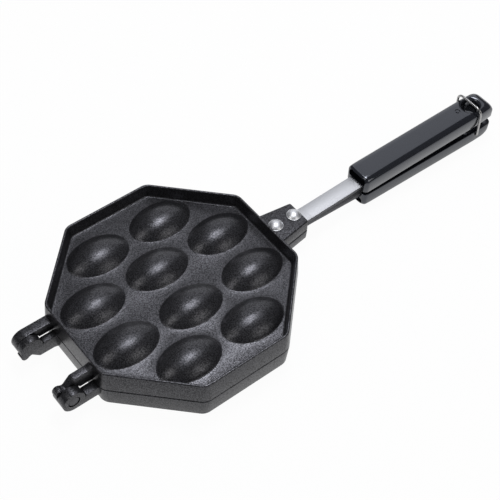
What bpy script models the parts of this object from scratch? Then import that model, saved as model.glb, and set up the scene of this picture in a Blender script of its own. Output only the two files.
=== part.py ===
"""Hinged cake iron, closed: two like octagonal castings face to face, ten oval cups in each.

Each half is one casting with its riveted steel strap and moulded grip. The two halves are alike: the lower one is the
upper one turned over about the long axis, so an outer and an inner hinge ear meet on each side. A half is drawn from
its hinge pin's axis: +X runs to the grip, +Z runs away from the other half, and z = 0 is the parting plane.
All lengths are in metres.
"""

from math import acos, atan, cos, pi, radians, sin

import bmesh
import bpy
from mathutils import Matrix

# Clearances and cuts
SEAT = 0.0003  # between two pieces that touch
PARTING_GAP = 0.0003  # between the two castings
OVERRUN = 0.002  # cuts run this far past what they cut

# Casting: octagon, skirt and web
PLATE_FLATS = 0.160  # across the flats, at the parting plane
PLATE_RISE = 0.0162  # parting plane to rim
PLATE_CORNER = 0.010  # rounding of the octagon's corners
SKIRT_DRAFT = 0.0012  # how far the skirt leans in from the parting plane to the rim
RIM_WALL = 0.0017
FOOT_SPREAD = 0.0016  # what the skirt gains in thickness from its rim to its foot
WEB_THICK = 0.0072

# Cups on the inside, domes over them on the outside
CUP_EDGE = 0.00625  # from the plate's edge to the nearest cup, along the handle
CUP_WALL = 0.00475  # between two cups of a row
ROW_EDGE = 0.0124  # from the plate's edge to the outer row
ROW_WALL = 0.0052  # between the two inner rows
NEST_SHARE = 0.994  # step from an inner row to an outer row, of a cup's width
CUP_DEPTH = 0.0115
CROWN_WALL = 0.0031  # metal over a cup's deepest point
DOME_SINK = 0.001  # how far a dome's surface is carried on below the web
DOME_LENGTH_SHARE = 0.991  # a dome's oval, of its cup's
DOME_WIDTH_SHARE = 0.945
DOME_CAP_SHARE = 0.677  # how much of the full egg's height lies below the web, which sets the slope

# Hinge ears and pins
HINGE_SETBACK = 0.0181  # pin's axis to the plate's edge
PIN_DIAMETER = 0.008
PIN_CHAMFER = 0.0005
PIN_COVER = 0.0012  # the inner ear's wall over the pin's blind end
EAR_RADIUS = 0.008
EAR_BLOCK_GAP = 0.0014  # width of the notch between an ear's round and its block, on the parting plane
HOOK_START = 0.0183  # inner face of the inner ear, from the middle
HOOK_THICK = 0.0046
EAR_GAP = 0.0009  # between the two ears of a pair
BOSS_THICK = 0.0067
NOTCH_TURN_SHARE = 0.042  # where the notch meets the round, of a full turn
HOOK_TIP_TURN_SHARE = 0.445  # where the hook's nose leaves the round, of a full turn
HOOK_OUTLINE_SHARES = (  # nose, waist and ramp of the inner ear, of the ear's radius
    (-1.075, 0.375),
    (-1.03, 0.66),
    (-0.86, 0.90),
    (-0.68, 0.97),
    (-0.50, 0.93),
    (-0.33, 0.79),
    (-0.10, 0.70),
    (0.60, 1.45),
)

# Lug
LUG_REACH = 0.0273  # past the plate's edge
LUG_RISE = 0.0091
LUG_ROOT_HALF = 0.0139  # half width on top, at the plate's edge
LUG_END_HALF = 0.0100  # half width on top, at the lug's end
LUG_DRAFT = 0.0005

# Strap
STRAP_WIDTH = 0.0122
STRAP_THICK = 0.0029
STRAP_LIFT = 0.0003  # parting plane to the strap's inner face, in the lug
STRAP_FLAT = 0.0082  # from the lug's end to the bend
STRAP_SLOPE_SHARE = 0.049  # rise over run after the bend
STRAP_BARE = 0.0532  # from the lug's end to the grip
STRAP_EDGE = 0.0069  # from the inner rivet's axis to the strap's end
TANG_LENGTH = 0.0915  # strap inside the grip

# Rivets
RIVET_DIAMETER = 0.005
RIVET_HEAD = 0.0103
RIVET_HEAD_RISE = 0.0023
RIVET_TAIL = 0.0080
RIVET_TAIL_DEPTH = 0.0014
RIVET_SETBACK = 0.0064  # from the plate's edge to the inner rivet
RIVET_PITCH = 0.0158

# Grip
GRIP_LENGTH = 0.1302
GRIP_WIDTH = 0.0212
GRIP_RISE = 0.0128
GRIP_LIFT = 0.00125  # parting plane to the inner face, at the grip's near end
GRIP_SLOPE_SHARE = 0.0185
GRIP_EDGE = 0.0036  # rounding of the long outer edges
GRIP_FOOT_EDGE = 0.0006  # rounding of the long inner edges
GRIP_HEEL = 0.0026  # rounding of the near end, seen from the side
GRIP_HEEL_CORNER = 0.002  # and seen from above
GRIP_NOSE = 0.009  # rounding of the far end, seen from the side
GRIP_NOSE_CORNER = 0.0035  # and seen from above
GRIP_TAPER = 0.001  # what the half width loses towards the far end
GRIP_TAPER_RUN = 0.0185
POCKET_NEAR_HALF = 0.0065  # moulded pocket in the near end face
POCKET_FAR_HALF = 0.0070
POCKET_FLOOR = 0.0013  # wall between the strap's groove and the pocket
POCKET_RISE = 0.0050
POCKET_DEPTH = 0.012
HANG_HOLE = 0.013
HANG_FLARE = 0.0030
HANG_SETBACK = 0.0172  # hanging hole's axis from the grip's end

# Grip screws and their threaded inserts
SCREW_DIAMETER = 0.003
SCREW_HEAD = 0.0064
SCREW_HEAD_DEPTH = 0.0017
SCREW_LENGTH = 0.0085
SCREW_SOCKET = 0.0022  # across the drive recess
SCREW_SOCKET_DEPTH = 0.0009
SCREW_NEAR = 0.030  # from the grip's near end to the first screw
SCREW_FAR = 0.0155  # from the second screw to the strap's end
INSERT_DIAMETER = 0.0056
INSERT_LENGTH = 0.0052

# Bail
WIRE_DIAMETER = 0.0018
BAIL_BEND = 0.005  # radius of the wire's axis at the two upper bends
BAIL_FOOT_BEND = 0.0014
BAIL_SIDE_GAP = 0.0004  # between the grips' sides and the wire
BAIL_TOP_GAP = 0.0026  # between the upper grip and the wire
BAIL_STUB = 0.0028  # how deep the wire's ends go into the lower grip
BAIL_LEAN = 0.0019  # how far the bar stands back towards the plates
BAIL_SETBACK = 0.0170  # pivot's axis from the grip's end
BAIL_DEPTH = 0.0063  # parting plane to the pivot's axis

# How finely round shapes are cut up
CUP_SIDES = 24
CUP_RINGS = 5
EAR_STEPS = 20
ROUND_SIDES = 24
SMALL_SIDES = 16
CORNER_STEPS = 4
NOSE_STEPS = 6
SHARP_ANGLE = radians(35)

# Places worked out from the sizes above
HALF_GAP = PARTING_GAP / 2
APOTHEM = PLATE_FLATS / 2
HINGE_REACH = HINGE_SETBACK + APOTHEM
RIM_APOTHEM = APOTHEM - SKIRT_DRAFT
RIM_INNER = RIM_APOTHEM - RIM_WALL
FOOT_INNER = RIM_INNER - FOOT_SPREAD
SKIRT_MIDDLE = (RIM_APOTHEM + RIM_INNER) / 2
PLATE_EDGE_X = HINGE_REACH + APOTHEM
CUP_LENGTH = (PLATE_FLATS - 2 * CUP_EDGE - 2 * CUP_WALL) / 3
CUP_WIDTH = (APOTHEM - ROW_EDGE - ROW_WALL / 2) / (1 + NEST_SHARE)
CUP_PITCH = CUP_LENGTH + CUP_WALL
INNER_ROW = (CUP_WIDTH + ROW_WALL) / 2
OUTER_ROW = INNER_ROW + NEST_SHARE * CUP_WIDTH
DOME_RISE = CUP_DEPTH + CROWN_WALL - WEB_THICK
PIN_BORE = PIN_DIAMETER + 2 * SEAT
PIN_START = HOOK_START + PIN_COVER + SEAT
EAR_ROOT_X = HINGE_REACH - SKIRT_MIDDLE
BOSS_START = HOOK_START + HOOK_THICK + EAR_GAP
BOSS_END = BOSS_START + BOSS_THICK
LUG_END_X = PLATE_EDGE_X + LUG_REACH
RIVET_X = (PLATE_EDGE_X + RIVET_SETBACK, PLATE_EDGE_X + RIVET_SETBACK + RIVET_PITCH)
STRAP_START_X = RIVET_X[0] - STRAP_EDGE
BEND_X = LUG_END_X + STRAP_FLAT
GRIP_X = LUG_END_X + STRAP_BARE
STRAP_TOP = STRAP_LIFT + STRAP_THICK
STRAP_AT_GRIP = STRAP_LIFT + STRAP_SLOPE_SHARE * (GRIP_X - BEND_X)
TANG_INSET = STRAP_AT_GRIP - GRIP_LIFT
GROOVE_TOP = TANG_INSET + STRAP_THICK + SEAT
GRIP_HALF = GRIP_WIDTH / 2
GRIP_TILT = atan(GRIP_SLOPE_SHARE)
SCREW_X = (SCREW_NEAR, TANG_LENGTH - SCREW_FAR)
INSERT_START = GROOVE_TOP + SEAT
HANG_X = GRIP_LENGTH - HANG_SETBACK
BAIL_X = GRIP_X + (GRIP_LENGTH - BAIL_SETBACK) * cos(GRIP_TILT)
BAIL_HALF = GRIP_HALF + BAIL_SIDE_GAP + WIRE_DIAMETER / 2
GRIP_TOP_AT_BAIL = GRIP_LIFT + GRIP_RISE + GRIP_SLOPE_SHARE * (BAIL_X - GRIP_X)
BAIL_REACH = BAIL_DEPTH + GRIP_TOP_AT_BAIL + BAIL_TOP_GAP + WIRE_DIAMETER / 2
HOOK_TIP = -HOOK_OUTLINE_SHARES[0][0] * EAR_RADIUS
FAR_END_X = GRIP_X + GRIP_LENGTH * cos(GRIP_TILT) - GRIP_FOOT_EDGE * sin(GRIP_TILT)
HINGE_X = -(FAR_END_X - HOOK_TIP) / 2
GRIP_FRAME = Matrix.Translation((GRIP_X, 0, GRIP_LIFT)) @ Matrix.Rotation(-GRIP_TILT, 4, "Y")


def clear_scene():
    """Start from an empty scene."""
    for old in list(bpy.data.objects):
        bpy.data.objects.remove(old, do_unlink=True)


def finish(name, look):
    """A material with the piece's own colour, roughness and metallic value."""
    surface = bpy.data.materials.new(name)
    surface.use_nodes = True
    shader = surface.node_tree.nodes["Principled BSDF"]
    shader.inputs["Base Color"].default_value = (*look[0], 1)
    shader.inputs["Roughness"].default_value = look[1]
    shader.inputs["Metallic"].default_value = look[2]
    surface.diffuse_color = (*look[0], 1)
    return surface


def skin(name, rings, closed=False):
    """Closed surface through rings of points. A ring of one point is a tip, and closed joins the last to the first."""
    shape = bmesh.new()
    rows = [[shape.verts.new(point) for point in ring] for ring in rings]
    pairs = list(zip(rows, rows[1:]))
    if closed:
        pairs.append((rows[-1], rows[0]))
    for low, high in pairs:
        count = max(len(low), len(high))
        for side in range(count):
            after = (side + 1) % count
            corners = [low[side % len(low)], low[after % len(low)]]
            corners += [high[after % len(high)], high[side % len(high)]]
            shape.faces.new(list(dict.fromkeys(corners)))
    if not closed:
        for row in (rows[0], rows[-1]):
            if len(row) > 2:
                shape.faces.new(row)
    bmesh.ops.recalc_face_normals(shape, faces=shape.faces)
    mesh = bpy.data.meshes.new(name)
    shape.to_mesh(mesh)
    shape.free()
    return mesh


def prism(name, outline, start, end):
    """Outline in the XZ plane, carried along Y from start to end."""
    return skin(name, [[(x, y, z) for x, z in outline] for y in (start, end)])


def block(name, x_span, y_span, z_span):
    """Box between three pairs of planes."""
    outline = [(x_span[0], z_span[0]), (x_span[1], z_span[0]), (x_span[1], z_span[1]), (x_span[0], z_span[1])]
    return prism(name, outline, y_span[0], y_span[1])


def turned(name, profile, sides, closed=False):
    """Profile of (radius, height) pairs turned about Z."""
    rings = []
    for radius, height in profile:
        if radius == 0:
            rings.append([(0, 0, height)])
            continue
        turns = [2 * pi * side / sides for side in range(sides)]
        rings.append([(radius * cos(turn), radius * sin(turn), height) for turn in turns])
    return skin(name, rings, closed)


def arc(centre, radius, start, end, steps):
    """Points of an arc in a plane, from one angle to another."""
    angles = [start + (end - start) * step / steps for step in range(steps + 1)]
    return [(centre[0] + radius * cos(angle), centre[1] + radius * sin(angle)) for angle in angles]


def merged(name, meshes):
    """Several shapes that don't touch, as one mesh."""
    shape = bmesh.new()
    for mesh in meshes:
        shape.from_mesh(mesh)
        bpy.data.meshes.remove(mesh)
    mesh = bpy.data.meshes.new(name)
    shape.to_mesh(mesh)
    shape.free()
    return mesh


def moved(mesh, matrix):
    """The same mesh, carried by a matrix."""
    mesh.transform(matrix)
    return mesh


def combine(mesh, tools, operation):
    """Mesh after one Boolean with each tool in turn."""
    body = bpy.data.objects.new("body", mesh)
    bpy.context.scene.collection.objects.link(body)
    for tool_mesh in tools:
        tool = bpy.data.objects.new("tool", tool_mesh)
        tool.hide_render = True
        tool.display_type = "WIRE"
        bpy.context.scene.collection.objects.link(tool)
        step = body.modifiers.new("step", "BOOLEAN")
        step.operation = operation
        step.solver = "EXACT"
        step.object = tool
        bpy.context.view_layer.update()
        graph = bpy.context.evaluated_depsgraph_get()
        result = bpy.data.meshes.new_from_object(body.evaluated_get(graph))
        body.modifiers.clear()
        body.data = result
        bpy.data.objects.remove(tool, do_unlink=True)
    result = body.data
    bpy.data.objects.remove(body, do_unlink=True)
    return result


def smooth(mesh):
    """Smooth shading with crisp edges kept."""
    mesh.shade_smooth()
    mesh.set_sharp_from_angle(angle=SHARP_ANGLE)
    return mesh


def empty(name, location, rotation=(0, 0, 0)):
    """Axis that pieces hang on."""
    holder = bpy.data.objects.new(name, None)
    holder.location = location
    holder.rotation_euler = rotation
    bpy.context.scene.collection.objects.link(holder)
    return holder


def place(name, data, look, parent, location=(0, 0, 0), rotation=(0, 0, 0)):
    """One piece of the iron, with its own material."""
    piece = bpy.data.objects.new(name, data)
    piece.parent = parent
    piece.location = location
    piece.rotation_euler = rotation
    bpy.context.scene.collection.objects.link(piece)
    surface = finish(name, look)
    if not data.materials:
        data.materials.append(surface)
    piece.material_slots[0].link = "OBJECT"
    piece.material_slots[0].material = surface
    return piece


def octagon(apothem, height):
    """Octagon with rounded corners about the plate's centre, flats square to X and Y."""
    radius = PLATE_CORNER - (APOTHEM - apothem)
    ring = []
    for corner in range(8):
        middle = pi / 8 + corner * pi / 4
        reach = (apothem - radius) / cos(pi / 8)
        centre = (HINGE_REACH + reach * cos(middle), reach * sin(middle))
        ring += arc(centre, radius, middle - pi / 8, middle + pi / 8, CORNER_STEPS)
    return [(x, y, height) for x, y in ring]


def cup_centres():
    """Centres of the ten cups: rows of two, three, three and two."""
    centres = []
    for side in (-1, 1):
        centres += [(HINGE_REACH + step * CUP_PITCH, side * INNER_ROW) for step in (-1, 0, 1)]
        centres += [(HINGE_REACH + step * CUP_PITCH / 2, side * OUTER_ROW) for step in (-1, 1)]
    return centres


def oval(centre, semi_x, semi_y, height):
    """One oval ring."""
    turns = [2 * pi * (side + 0.5) / CUP_SIDES for side in range(CUP_SIDES)]
    return [(centre[0] + semi_x * cos(turn), centre[1] + semi_y * sin(turn), height) for turn in turns]


def cup(centre):
    """Tool for one cup: half an egg with its widest ring on the parting plane."""
    rings = [[(centre[0], centre[1], CUP_DEPTH)]]
    for step in range(1, CUP_RINGS + 1):
        turn = pi / 2 * step / CUP_RINGS
        rings.append(oval(centre, CUP_LENGTH / 2 * sin(turn), CUP_WIDTH / 2 * sin(turn), CUP_DEPTH * cos(turn)))
    rings.append(oval(centre, CUP_LENGTH / 2, CUP_WIDTH / 2, -OVERRUN))
    return skin("cup", rings)


def dome(centre):
    """Dome over one cup: the cap of an egg, carried on a little below the web."""
    height = DOME_RISE / (1 - DOME_CAP_SHARE)
    turn_at_web = acos(DOME_CAP_SHARE)
    semi_x = CUP_LENGTH / 2 * DOME_LENGTH_SHARE / sin(turn_at_web)
    semi_y = CUP_WIDTH / 2 * DOME_WIDTH_SHARE / sin(turn_at_web)
    foot = WEB_THICK - height * DOME_CAP_SHARE
    turns = [turn_at_web * step / CUP_RINGS for step in range(1, CUP_RINGS)]
    turns.append(acos(DOME_CAP_SHARE - DOME_SINK / height))
    rings = [[(centre[0], centre[1], WEB_THICK + DOME_RISE)]]
    for turn in turns:
        rings.append(oval(centre, semi_x * sin(turn), semi_y * sin(turn), foot + height * cos(turn)))
    return skin("dome", rings)


def ear_block():
    """Corner of an ear's block on the parting plane."""
    return (EAR_RADIUS + EAR_BLOCK_GAP, HALF_GAP)


def boss_ear():
    """Outer ear: a round boss with a flat-topped block back to the skirt."""
    outline = arc((0, 0), EAR_RADIUS, pi / 2, 2 * pi * (1 + NOTCH_TURN_SHARE), EAR_STEPS)
    outline += [ear_block(), (EAR_ROOT_X, HALF_GAP), (EAR_ROOT_X, EAR_RADIUS)]
    return prism("boss_ear", outline, BOSS_START, BOSS_END)


def hook_ear():
    """Inner ear: round below the pin, with a nose, a waist and a ramp above it."""
    start = 2 * pi * HOOK_TIP_TURN_SHARE
    outline = arc((0, 0), EAR_RADIUS, start, 2 * pi * (1 + NOTCH_TURN_SHARE), EAR_STEPS)
    outline += [ear_block(), (EAR_ROOT_X, HALF_GAP)]
    top = HOOK_OUTLINE_SHARES[-1][1] * EAR_RADIUS
    outline.append((EAR_ROOT_X, top))
    outline += [(x * EAR_RADIUS, z * EAR_RADIUS) for x, z in reversed(HOOK_OUTLINE_SHARES)]
    return prism("hook_ear", outline, -HOOK_START, -(HOOK_START + HOOK_THICK))


def lug():
    """Tapering block on the skirt that carries the strap."""
    root_x = HINGE_REACH + SKIRT_MIDDLE
    taper = (LUG_ROOT_HALF - LUG_END_HALF) / LUG_REACH
    root_half = LUG_ROOT_HALF + taper * (PLATE_EDGE_X - root_x)
    rings = []
    for height, spread in ((HALF_GAP, LUG_DRAFT), (LUG_RISE, 0)):
        near = root_half + spread
        far = LUG_END_HALF + spread
        rings.append([(root_x, -near), (LUG_END_X, -far), (LUG_END_X, far), (root_x, near)])
        rings[-1] = [(x, y, height) for x, y in rings[-1]]
    return skin("lug", rings)


def plate():
    """One casting: skirt, web, domes, two ears and the lug, then cups, bores and the strap's pocket."""
    rings = [octagon(APOTHEM, HALF_GAP), octagon(RIM_APOTHEM, PLATE_RISE)]
    rings += [octagon(RIM_INNER, PLATE_RISE), octagon(FOOT_INNER, WEB_THICK)]
    body = skin("plate", rings)
    domes = merged("domes", [dome(centre) for centre in cup_centres()])
    body = combine(body, [domes, boss_ear(), hook_ear(), lug()], "UNION")
    cups = merged("cups", [cup(centre) for centre in cup_centres()])
    between = BOSS_START - EAR_GAP / 2
    bores = []
    for start, end in ((between, BOSS_END + OVERRUN), (-between, SEAT - PIN_START)):
        profile = [(PIN_BORE / 2, start), (PIN_BORE / 2, end)]
        bores.append(moved(turned("bore", profile, ROUND_SIDES), Matrix.Rotation(-pi / 2, 4, "X")))
    half = STRAP_WIDTH / 2 + SEAT
    pocket_x = (STRAP_START_X - SEAT, LUG_END_X + OVERRUN)
    pocket = block("pocket", pocket_x, (-half, half), (-OVERRUN, STRAP_TOP + SEAT))
    tools = [cups, *bores, pocket]
    for x in RIVET_X:
        profile = [(RIVET_DIAMETER / 2 + SEAT, 0), (RIVET_DIAMETER / 2 + SEAT, LUG_RISE + OVERRUN)]
        tools.append(moved(turned("rivet_hole", profile, SMALL_SIDES), Matrix.Translation((x, 0, 0))))
    return smooth(combine(body, tools, "DIFFERENCE"))


def pin():
    """Hinge pin, along Y from its blind seat in the hooked ear to the boss's outer face."""
    radius = PIN_DIAMETER / 2
    length = BOSS_END - PIN_START
    profile = [(0, 0), (radius - PIN_CHAMFER, 0), (radius, PIN_CHAMFER), (radius, length - PIN_CHAMFER)]
    profile += [(radius - PIN_CHAMFER, length), (0, length)]
    return smooth(moved(turned("pin", profile, ROUND_SIDES), Matrix.Rotation(-pi / 2, 4, "X")))


def flared_hole(name, radius, flare, depth, length):
    """Tool for a hole along Z that widens to flare over depth, down at its lower end."""
    profile = [(0, -OVERRUN), (flare, -OVERRUN), (flare, 0), (radius, depth), (radius, length), (0, length)]
    return turned(name, profile, SMALL_SIDES)


def strap():
    """Flat steel strap: straight in the lug, bent up to the grip, then along the grip's groove."""
    run = TANG_LENGTH * cos(GRIP_TILT)
    spine = [(STRAP_START_X, STRAP_LIFT), (BEND_X, STRAP_LIFT), (GRIP_X, STRAP_AT_GRIP)]
    spine.append((GRIP_X + run, STRAP_AT_GRIP + run * GRIP_SLOPE_SHARE))
    outline = spine + [(x, z + STRAP_THICK) for x, z in reversed(spine)]
    body = prism("strap", outline, -STRAP_WIDTH / 2, STRAP_WIDTH / 2)
    holes = []
    for x in RIVET_X:
        flare = RIVET_TAIL / 2 + SEAT
        hole = flared_hole("hole", RIVET_DIAMETER / 2 + SEAT, flare, RIVET_TAIL_DEPTH, STRAP_TOP + OVERRUN)
        holes.append(moved(hole, Matrix.Translation((x, 0, STRAP_LIFT))))
    for x in SCREW_X:
        flare = SCREW_HEAD / 2 + SEAT
        hole = flared_hole("hole", SCREW_DIAMETER / 2 + SEAT, flare, SCREW_HEAD_DEPTH, STRAP_THICK + OVERRUN)
        holes.append(moved(hole, GRIP_FRAME @ Matrix.Translation((x, 0, TANG_INSET))))
    return smooth(combine(body, holes, "DIFFERENCE"))


def rivet():
    """Rivet with a domed head on the lug and a tail set flush in the strap. Its foot is on z = 0."""
    shank = RIVET_DIAMETER / 2
    seat = LUG_RISE + SEAT - STRAP_LIFT
    head = RIVET_HEAD / 2
    drop = (head * head - RIVET_HEAD_RISE * RIVET_HEAD_RISE) / (2 * RIVET_HEAD_RISE)
    radius = drop + RIVET_HEAD_RISE
    start = acos(head / radius)
    profile = [(0, 0), (RIVET_TAIL / 2, 0), (shank, RIVET_TAIL_DEPTH), (shank, seat), (head, seat)]
    profile += arc((0, seat - drop), radius, start, pi / 2, CORNER_STEPS)[1:-1]
    profile.append((0, seat + RIVET_HEAD_RISE))
    return smooth(turned("rivet", profile, ROUND_SIDES))


def grip_section(x, half, rise):
    """Section of the grip at x: flat inner face, rounded outer edges."""
    edge = min(GRIP_EDGE, rise - GRIP_FOOT_EDGE, half)
    foot = GRIP_FOOT_EDGE
    ring = arc((half - foot, foot), foot, -pi / 2, 0, 2)
    ring += arc((half - edge, rise - edge), edge, 0, pi / 2, CORNER_STEPS)
    ring += arc((edge - half, rise - edge), edge, pi / 2, pi, CORNER_STEPS)
    ring += arc((foot - half, foot), foot, pi, 3 * pi / 2, 2)
    return [(x, y, z) for y, z in ring]


def draw_in(radius, depth):
    """How far a corner of a radius stands back, at a depth from the end that it rounds."""
    past = max(0, radius - depth)
    return radius - (radius ** 2 - past ** 2) ** 0.5


def grip():
    """Moulded grip from its near end on x = 0, inner face on z = 0, with its groove, pocket and holes."""
    taper_x = GRIP_LENGTH - GRIP_TAPER_RUN
    turns = [pi / 2 * step / NOSE_STEPS for step in range(NOSE_STEPS + 1)]
    places = [(GRIP_HEEL * (1 - cos(turn)), GRIP_HEEL * (1 - sin(turn))) for turn in turns]
    places.append((taper_x, 0))
    turns.reverse()
    places += [(GRIP_LENGTH - GRIP_NOSE * (1 - cos(turn)), GRIP_NOSE * (1 - sin(turn))) for turn in turns]
    rings = []
    for x, drop in places:
        half = GRIP_HALF - GRIP_TAPER * max(0, x - taper_x) / GRIP_TAPER_RUN
        half -= draw_in(GRIP_HEEL_CORNER, x) + draw_in(GRIP_NOSE_CORNER, GRIP_LENGTH - x)
        rings.append(grip_section(x, half, GRIP_RISE - drop))
    body = skin("grip", rings)
    groove_half = STRAP_WIDTH / 2 + SEAT
    groove_x = (-OVERRUN, TANG_LENGTH + SEAT)
    pocket_z = (GROOVE_TOP + POCKET_FLOOR, GROOVE_TOP + POCKET_FLOOR + POCKET_RISE)
    tools = [block("groove", groove_x, (-groove_half, groove_half), (-OVERRUN, GROOVE_TOP))]
    tools.append(block("pocket", (-OVERRUN, POCKET_DEPTH), (-POCKET_NEAR_HALF, POCKET_FAR_HALF), pocket_z))
    hole = HANG_HOLE / 2
    profile = [(0, -OVERRUN), (hole, -OVERRUN)]
    flare = arc((hole + HANG_FLARE, GRIP_RISE - HANG_FLARE), HANG_FLARE, pi, pi / 2, CORNER_STEPS)
    profile += flare + [(hole + HANG_FLARE, GRIP_RISE + OVERRUN), (0, GRIP_RISE + OVERRUN)]
    tools.append(moved(turned("hang_hole", profile, ROUND_SIDES), Matrix.Translation((HANG_X, 0, 0))))
    for x in SCREW_X:
        radius = INSERT_DIAMETER / 2 + SEAT
        top = INSERT_START + INSERT_LENGTH + SEAT
        profile = [(0, 0), (radius, 0), (radius, top), (0, top)]
        tools.append(moved(turned("insert_hole", profile, SMALL_SIDES), Matrix.Translation((x, 0, 0))))
    return combine(body, tools, "DIFFERENCE")


def pivot_holes():
    """Tools for the two blind holes of the bail, in the frame of a half."""
    tools = []
    radius = WIRE_DIAMETER / 2 + SEAT
    start = GRIP_HALF - BAIL_STUB - SEAT
    profile = [(0, start), (radius, start), (radius, GRIP_WIDTH), (0, GRIP_WIDTH)]
    for turn in (-pi / 2, pi / 2):
        place_at = Matrix.Translation((BAIL_X, 0, BAIL_DEPTH)) @ Matrix.Rotation(turn, 4, "X")
        tools.append(moved(turned("pivot_hole", profile, SMALL_SIDES), place_at))
    return tools


def screw():
    """Countersunk screw with a drive recess, its head's face on z = 0 and its tip upwards."""
    shank = SCREW_DIAMETER / 2
    socket = SCREW_SOCKET / 2
    tip = SCREW_LENGTH
    chamfer = shank / 3
    profile = [(0, SCREW_SOCKET_DEPTH), (socket, SCREW_SOCKET_DEPTH), (socket, 0), (SCREW_HEAD / 2, 0)]
    profile += [(shank, SCREW_HEAD_DEPTH), (shank, tip - chamfer), (shank - chamfer, tip), (0, tip)]
    return smooth(turned("screw", profile, SMALL_SIDES))


def insert():
    """Threaded bush: a plain tube round the screw."""
    bore = SCREW_DIAMETER / 2 + SEAT
    outer = INSERT_DIAMETER / 2
    profile = [(bore, 0), (outer, 0), (outer, INSERT_LENGTH), (bore, INSERT_LENGTH)]
    return smooth(turned("insert", profile, SMALL_SIDES, closed=True))


def bail_wire():
    """Wire's axis from its pivot: two stubs turned in, two legs and a bar across, all bends round."""
    reach = -BAIL_REACH
    start_y = GRIP_HALF - BAIL_STUB
    points = [(-start_y, 0)]
    foot = BAIL_FOOT_BEND
    bend = BAIL_BEND
    points += arc((foot - BAIL_HALF, -foot), foot, pi / 2, pi, CORNER_STEPS)
    points += arc((bend - BAIL_HALF, reach + bend), bend, pi, 3 * pi / 2, 2 * CORNER_STEPS)
    points += arc((BAIL_HALF - bend, reach + bend), bend, -pi / 2, 0, 2 * CORNER_STEPS)
    points += arc((BAIL_HALF - foot, -foot), foot, 0, pi / 2, CORNER_STEPS)
    points.append((start_y, 0))
    wire = bpy.data.curves.new("locking_bail", "CURVE")
    wire.dimensions = "3D"
    wire.bevel_depth = WIRE_DIAMETER / 2
    wire.bevel_resolution = 3
    wire.use_fill_caps = True
    spline = wire.splines.new("POLY")
    spline.points.add(len(points) - 1)
    for point, (y, z) in zip(spline.points, points):
        point.co = (BAIL_LEAN * z / BAIL_REACH, y, z, 1)
    return wire


COATING = ((0.030, 0.030, 0.032), 0.50, 0.0)
STEEL = ((0.55, 0.55, 0.56), 0.28, 1.0)
ALUMINIUM = ((0.62, 0.62, 0.63), 0.35, 1.0)
PHENOLIC = ((0.018, 0.018, 0.022), 0.12, 0.0)
BRASS = ((0.60, 0.42, 0.16), 0.35, 1.0)
DARK_STEEL = ((0.20, 0.20, 0.21), 0.35, 1.0)


def build():
    """The whole iron."""
    clear_scene()
    centre = (HINGE_X, 0, PLATE_RISE)
    halves = {"lower": empty("lower_half", centre, (pi, 0, 0)), "upper": empty("upper_half", centre)}
    casting = plate()
    pin_mesh = pin()
    strap_mesh = strap()
    rivet_mesh = rivet()
    grip_mesh = grip()
    pivots = [moved(tool, GRIP_FRAME.inverted()) for tool in pivot_holes()]
    drilled = smooth(combine(grip_mesh.copy(), pivots, "DIFFERENCE"))
    grips = {"lower": drilled, "upper": smooth(grip_mesh)}
    screw_mesh = screw()
    insert_mesh = insert()
    for side, half in halves.items():
        place(side + "_plate", casting, COATING, half)
        far_or_near = {"lower": "far", "upper": "near"}[side]
        place("hinge_pin_" + far_or_near, pin_mesh, STEEL, half, (0, -BOSS_END, 0))
        place(side + "_strap", strap_mesh, STEEL, half)
        for number, x in enumerate(RIVET_X, 1):
            place(f"{side}_rivet_{number}", rivet_mesh, ALUMINIUM, half, (x, 0, STRAP_LIFT))
        handle = place(side + "_grip", grips[side], PHENOLIC, half, (GRIP_X, 0, GRIP_LIFT), (0, -GRIP_TILT, 0))
        for number, x in enumerate(SCREW_X, 1):
            place(f"{side}_grip_screw_{number}", screw_mesh, DARK_STEEL, handle, (x, 0, TANG_INSET))
            place(f"{side}_grip_insert_{number}", insert_mesh, BRASS, handle, (x, 0, INSERT_START))
    place("locking_bail", bail_wire(), STEEL, halves["lower"], (BAIL_X, 0, BAIL_DEPTH))
    bpy.context.view_layer.update()


build()
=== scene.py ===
# %% [markdown]
# # A hinged cake iron, closed on a pale table
#
# The object is a double pan: two like aluminium castings, hinged at one side and held by two
# riveted straps with black grips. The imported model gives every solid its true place. This script
# gives each one its finished surface, lights it softly and looks at it from above the hinge side.
#
# All lengths are in metres. Each new piece is worked out in the place where it stays: most are
# grids of points made with numpy, and holes and joints between forms are Boolean steps.

from math import acos, asin, atan, cos, pi, radians, sin, sqrt, tan

import bmesh
import bpy
import numpy as np
from mathutils import Matrix, Vector
from mathutils.geometry import delaunay_2d_cdt


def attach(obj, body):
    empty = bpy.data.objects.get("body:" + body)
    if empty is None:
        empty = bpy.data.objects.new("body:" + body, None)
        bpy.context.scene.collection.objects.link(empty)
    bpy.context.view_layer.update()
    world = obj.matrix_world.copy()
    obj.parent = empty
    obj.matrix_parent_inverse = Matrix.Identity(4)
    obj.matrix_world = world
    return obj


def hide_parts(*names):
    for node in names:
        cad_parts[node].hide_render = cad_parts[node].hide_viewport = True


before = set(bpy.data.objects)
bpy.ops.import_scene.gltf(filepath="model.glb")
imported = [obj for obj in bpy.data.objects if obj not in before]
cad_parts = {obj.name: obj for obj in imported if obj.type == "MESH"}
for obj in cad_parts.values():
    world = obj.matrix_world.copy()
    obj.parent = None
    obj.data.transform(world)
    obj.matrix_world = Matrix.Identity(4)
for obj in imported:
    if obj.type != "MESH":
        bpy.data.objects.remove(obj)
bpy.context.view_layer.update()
print("pieces in the frame:", len(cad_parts))

# %% [markdown]
# ## Sizes
#
# A half is drawn from its hinge pin: x runs to the grip, z away from the other half, and z = 0 is
# the parting plane. The upper half is moved into place, and the lower half is the same shape turned
# over about the long axis. So every size is written once.

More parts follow.
